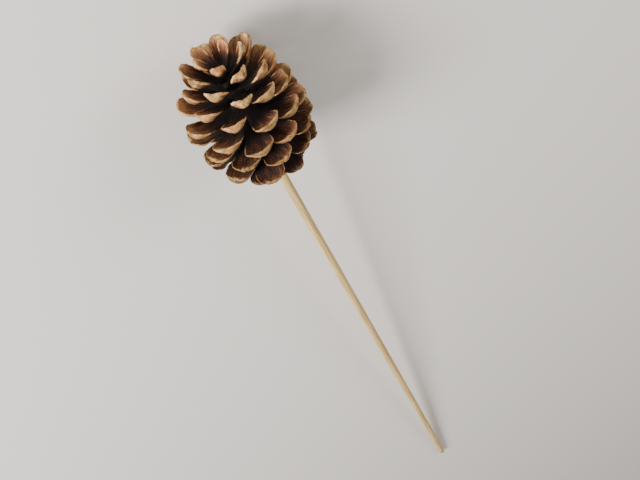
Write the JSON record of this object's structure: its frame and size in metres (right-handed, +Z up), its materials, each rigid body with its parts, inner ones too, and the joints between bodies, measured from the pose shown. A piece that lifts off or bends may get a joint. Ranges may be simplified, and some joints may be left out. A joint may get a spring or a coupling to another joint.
{
  "type": "pine cone pick",
  "caption": "Dried open pine cone with cupped woody scales, glued on a long thin round wooden stick, lying on its side.",
  "frame": {"origin": "middle of the pick's plan, on the surface that it lies on", "axes": "+X along the pick, from the cone's tip to the stick's free end; +Z up"},
  "size_m": [0.4498, 0.0504, 0.0508],
  "materials": {
    "cone_scales": "matt dried scales, tan at their ends and dark brown inside",
    "stick_wood": "bare turned dowel, straw coloured, with fine lengthwise grain",
    "set_glue": "set hot-melt glue, satin"
  },
  "bodies": {
    "root": {"cone": "cone_scales", "stick": "stick_wood", "glue": "set_glue"}
  },
  "joints": []
}
